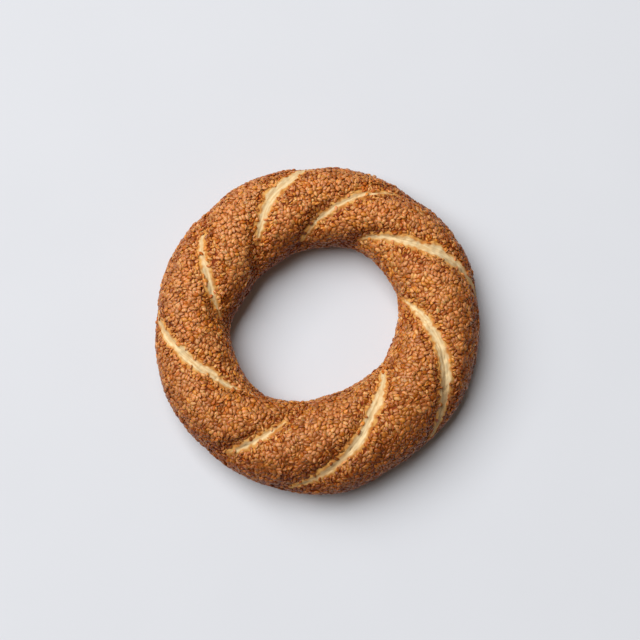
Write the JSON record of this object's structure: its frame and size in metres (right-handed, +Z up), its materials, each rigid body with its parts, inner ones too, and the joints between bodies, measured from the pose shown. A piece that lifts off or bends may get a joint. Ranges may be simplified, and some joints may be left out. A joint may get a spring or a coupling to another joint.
{
  "type": "simit",
  "caption": "Ring of twisted bread rope coated in toasted sesame seeds, with pale stretched seams between its strands and a flat underside.",
  "frame": {"origin": "middle of the ring's outline, on the table under its flat base", "axes": "+Z up through the hole, square to the ring; +X to the right and +Y away from the viewer of the ring's front"},
  "size_m": [0.157, 0.1612, 0.032],
  "materials": {
    "crust": "baked bread crust, matte with a faint syrup glaze; pale stretched dough in the seams",
    "sesame_seeds": "toasted sesame seeds, satin hulls from golden tan to brown"
  },
  "bodies": {
    "root": {"bread_ring": "crust"}
  },
  "joints": []
}
